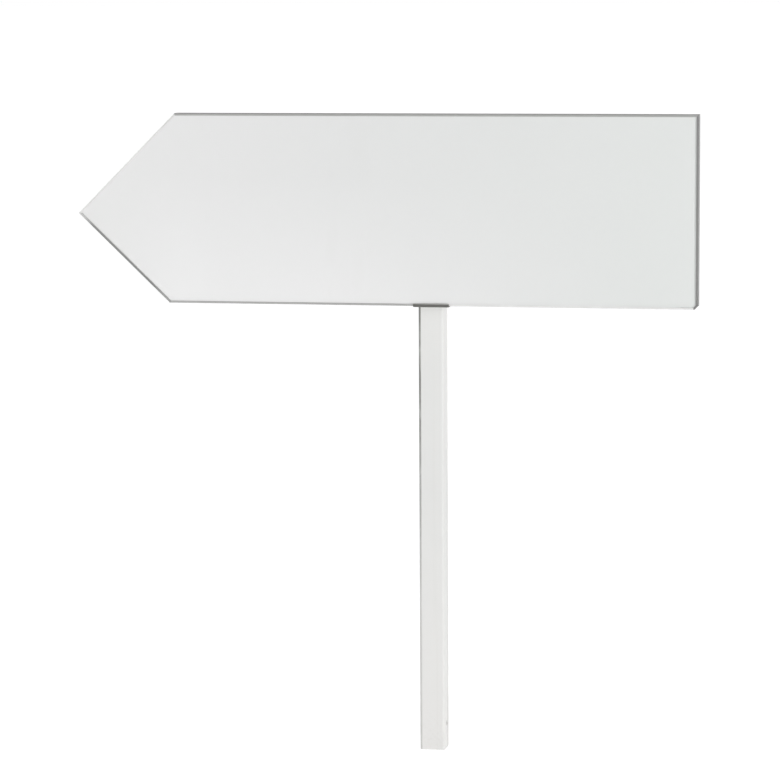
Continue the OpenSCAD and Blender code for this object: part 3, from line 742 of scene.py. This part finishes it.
def hammer_head(bm, cx, cz):
    """The oblong head of a bolt, with rounded corners, which lies in the rim's slot."""
    head = bmesh.ops.create_cube(bm, size=1.0)["verts"]
    bmesh.ops.scale(bm, vec=(HEAD_WIDTH, HEAD_DEPTH, HEAD_LENGTH), verts=head)
    bmesh.ops.translate(bm, vec=(cx, BOLT_FRONT + HEAD_DEPTH / 2, cz), verts=head)
    corners = [e for e in bm.edges if all(v in head for v in e.verts)
               and abs(e.verts[0].co.y - e.verts[1].co.y) > HEAD_DEPTH / 2]
    ease(bm, corners, 2.4 * MM, 5)
    # Clear of the shank, whose thread is sharp too
    clear_x, clear_z = HEAD_WIDTH / 2 - 0.2 * MM, 6 * MM
    outer = [e for e in sharp_edges(bm, 60.0)
             if abs(e.verts[0].co.z - cz) > clear_z or abs(e.verts[0].co.x - cx) > clear_x]
    ease(bm, outer, 0.4 * MM, 2)


def clamp_bolts():
    """Hammer-head bolts with a rolled thread."""
    bolts = []
    for cx, cz in BOLT_PLACES:
        bolt = bmesh.new()
        rolled_thread(bolt, cx, cz)
        hammer_head(bolt, cx, cz)
        bolts.append(bolt)
    finished(joined(bolts), "threaded_bolts", "clamps", [STAINLESS], ["clamp_bolts"], 35.0)


def rounded_plate(side, radius, low, high):
    """A square plate about the post's axis with rounded corners, between two heights."""
    bm = bmesh.new()
    verts = bmesh.ops.create_cube(bm, size=1.0)["verts"]
    bmesh.ops.scale(bm, vec=(side, side, high - low), verts=verts)
    bmesh.ops.translate(bm, vec=(0.0, 0.0, (low + high) / 2), verts=verts)
    upright = [e for e in bm.edges
               if abs(e.verts[0].co.z - e.verts[1].co.z) > (high - low) / 2]
    ease(bm, upright, radius, 8)
    return bm


def draw_in(bm, faces, share, rise):
    """Insets faces towards the post's axis, to a share of their width, and lifts them."""
    bmesh.ops.inset_region(bm, faces=faces, thickness=0.0, use_even_offset=False)
    verts = list({v for f in faces for v in f.verts})
    bmesh.ops.scale(bm, vec=(share, share, 1.0), verts=verts)
    bmesh.ops.translate(bm, vec=(0.0, 0.0, rise), verts=verts)


def plug_flange(side, top):
    """The plug's flange, which lies on the post's end: rounded over, with a soft crown."""
    crown = ((0.90, 0.20 * MM), (0.75, 0.18 * MM), (0.50, 0.12 * MM))
    crown_foot = top - 0.5 * MM
    flange = rounded_plate(side, 6 * MM, POST_TOP, crown_foot)
    ridge = [e for e in flange.edges if all(v.co.z > crown_foot - 0.1 * MM for v in e.verts)]
    ease(flange, ridge, 1.1 * MM, 4)
    flange.normal_update()
    lid = [f for f in flange.faces if f.normal.z > 0.99]
    for share, rise in crown:
        draw_in(flange, lid, share, rise)
    return flange


def plug_stem(side, foot):
    """The plug's stem inside the post, hollow from below."""
    wall, roof = 2.5 * MM, 1.5 * MM
    stem = rounded_plate(side, 2 * MM, foot, POST_TOP + 0.5 * MM)
    stem.normal_update()
    mouth = [f for f in stem.faces if f.normal.z < -0.99]
    draw_in(stem, mouth, 1.0 - 2 * wall / side, 0.0)
    draw_in(stem, mouth, 1.0, POST_TOP - foot - roof)
    return stem


def plug_fins(side, count):
    """Thin fins round the stem, which steady the plug in the post."""
    spacing, thickness = 6 * MM, 1.2 * MM
    fins = []
    for k in range(count):
        foot = POST_TOP - spacing * (k + 0.5)
        fin = rounded_plate(side, 3 * MM, foot, foot + thickness)
        ease(fin, sharp_edges(fin, 60.0), 0.3 * MM, 2)
        fins.append(fin)
    return fins


def post_plug():
    """The plug in the post's top: a flange, a hollow stem and three fins."""
    low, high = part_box("post_cap")
    side = high.x - low.x
    parts = [plug_flange(side, high.z), plug_stem(side - 11 * MM, low.z)]
    parts += plug_fins(side - 6.5 * MM, 3)
    for part in parts:
        bmesh.ops.recalc_face_normals(part, faces=part.faces)
    finished(joined(parts), "post_plug", "post", [FINISH["post_cap"]], ["post_cap"], 40.0)


def softened(node, width):
    """A copy of a pressed piece with its sharp edges eased, which stands for the node."""
    bm = bmesh.new()
    bm.from_mesh(NODES[node].data)
    bmesh.ops.remove_doubles(bm, verts=bm.verts, dist=0.005 * MM)
    bmesh.ops.dissolve_limit(
        bm, angle_limit=math.radians(0.5), verts=bm.verts, edges=bm.edges, delimit={"NORMAL"}
    )
    ease(bm, sharp_edges(bm, 50.0), width, 2)
    body = NODES[node]["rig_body"]
    finished(bm, node + "_pressed", body, [FINISH[node]], [node], 30.0)


clamp_washers()
clamp_nuts()
clamp_bolts()
post_plug()
softened("hook_plate", 0.35 * MM)
softened("upper_saddle", 0.35 * MM)
softened("upper_strap", 0.40 * MM)
softened("lower_strap", 0.40 * MM)


# Floor, background, light and camera

WHITE = (1.0, 1.0, 1.0, 1.0)
WORLD_LIGHT = 0.308
FLOOR_COLOUR = (0.80, 0.80, 0.80, 1.0)
FLOOR_LIFT = 0.64
FLOOR_HALF = 150.0
SIGN_MIDDLE = (0.0, 0.0, 1.1)

# The camera, fitted to the photograph: five corners of the panel and both edges of the post
CAMERA_PLACE = (1.41851, -7.87455, 1.86426)
YAW, PITCH_DOWN, ROLL = (math.radians(a) for a in (10.9463, -7.1305, 0.3107))
FOCAL_PIXELS = 3400.0
PHOTO_LONG_SIDE = 781
SENSOR_WIDTH = 36.0


def seen_directly(tree):
    """1 for what the camera sees straight on, mirrored or through glass, and 0 for lit surfaces."""
    path = tree.nodes.new("ShaderNodeLightPath")
    largest = path.outputs["Is Camera Ray"]
    for name in ("Is Glossy Ray", "Is Transmission Ray"):
        node = tree.nodes.new("ShaderNodeMath")
        node.operation = "MAXIMUM"
        tree.links.new(largest, node.inputs[0])
        tree.links.new(path.outputs[name], node.inputs[1])
        largest = node.outputs[0]
    return largest


def white_surroundings():
    """A white world, dimmer as a lamp than as a background."""
    world = bpy.data.worlds.new("studio")
    bpy.context.scene.world = world
    world.use_nodes = True
    tree = world.node_tree
    tree.nodes.clear()
    mix = tree.nodes.new("ShaderNodeMixShader")
    tree.links.new(seen_directly(tree), mix.inputs[0])
    for socket, strength in ((1, WORLD_LIGHT), (2, 1.0)):
        light = tree.nodes.new("ShaderNodeBackground")
        light.inputs["Color"].default_value = WHITE
        light.inputs["Strength"].default_value = strength
        tree.links.new(light.outputs[0], mix.inputs[socket])
    out = tree.nodes.new("ShaderNodeOutputWorld")
    tree.links.new(mix.outputs[0], out.inputs["Surface"])


def floor_white():
    """Matt white, lifted where it is seen, so that it meets the white background."""
    material = bpy.data.materials.new("floor_white")
    material.use_nodes = True
    tree = material.node_tree
    tree.nodes.clear()
    matt = tree.nodes.new("ShaderNodeBsdfDiffuse")
    matt.inputs["Color"].default_value = FLOOR_COLOUR
    glow = tree.nodes.new("ShaderNodeEmission")
    glow.inputs["Color"].default_value = WHITE
    lift = tree.nodes.new("ShaderNodeMath")
    lift.operation = "MULTIPLY"
    lift.inputs[1].default_value = FLOOR_LIFT
    add = tree.nodes.new("ShaderNodeAddShader")
    out = tree.nodes.new("ShaderNodeOutputMaterial")
    tree.links.new(seen_directly(tree), lift.inputs[0])
    tree.links.new(lift.outputs[0], glow.inputs["Strength"])
    tree.links.new(matt.outputs[0], add.inputs[0])
    tree.links.new(glow.outputs[0], add.inputs[1])
    tree.links.new(add.outputs[0], out.inputs["Surface"])
    return material


def studio_floor():
    """A plain white floor under the sign."""
    bm = bmesh.new()
    bmesh.ops.create_grid(bm, x_segments=1, y_segments=1, size=FLOOR_HALF)
    mesh = bpy.data.meshes.new("studio_floor")
    bm.to_mesh(mesh)
    bm.free()
    mesh.materials.append(floor_white())
    floor = bpy.data.objects.new("studio_floor", mesh)
    bpy.context.scene.collection.objects.link(floor)


def hung_lamp(data, away):
    """Puts a lamp into the scene. It shines against the direction given."""
    lamp = bpy.data.objects.new(data.name, data)
    lamp.rotation_mode = "QUATERNION"
    lamp.rotation_quaternion = away.to_track_quat("Z", "Y")
    bpy.context.scene.collection.objects.link(lamp)
    return lamp


def far_lamp(name, toward, strength, spread):
    """A very large soft lamp, far away in the given direction."""
    data = bpy.data.lights.new(name, "SUN")
    data.energy = strength
    data.angle = math.radians(spread)
    hung_lamp(data, Vector(toward))


def soft_box(name, place, size, power):
    """A rectangular soft lamp near the sign, aimed at its middle. It leaves no glare."""
    data = bpy.data.lights.new(name, "AREA")
    data.shape = "RECTANGLE"
    data.size, data.size_y = size
    data.energy = power
    lamp = hung_lamp(data, Vector(place) - Vector(SIGN_MIDDLE))
    lamp.location = place
    lamp.visible_camera = False
    lamp.visible_glossy = False


def fitted_camera():
    """A camera at the photograph's viewing angle."""
    lens = bpy.data.cameras.new("camera")
    lens.sensor_width = SENSOR_WIDTH
    lens.lens = FOCAL_PIXELS * SENSOR_WIDTH / PHOTO_LONG_SIDE
    lens.clip_start, lens.clip_end = 0.1, 500.0
    camera = bpy.data.objects.new("camera", lens)
    bpy.context.scene.collection.objects.link(camera)
    bpy.context.scene.camera = camera
    level = Matrix.Rotation(math.radians(90), 4, "X")
    turned = Matrix.Rotation(YAW, 4, "Z") @ Matrix.Rotation(PITCH_DOWN, 4, "X")
    turned = turned @ Matrix.Rotation(ROLL, 4, "Y")
    camera.matrix_world = Matrix.Translation(CAMERA_PLACE) @ turned @ level


white_surroundings()
studio_floor()
far_lamp("front_light", (0.25, -0.93, 0.26), 0.34, 40)
far_lamp("back_light", (-0.32, 0.90, 0.28), 2.0, 50)
soft_box("right_box", (6.0, -3.2, 0.60), (2.6, 1.1), 258.0)
soft_box("left_box", (-3.4, -2.6, 0.55), (1.6, 1.0), 57.5)
fitted_camera()
bpy.context.scene.view_settings.view_transform = "Standard"
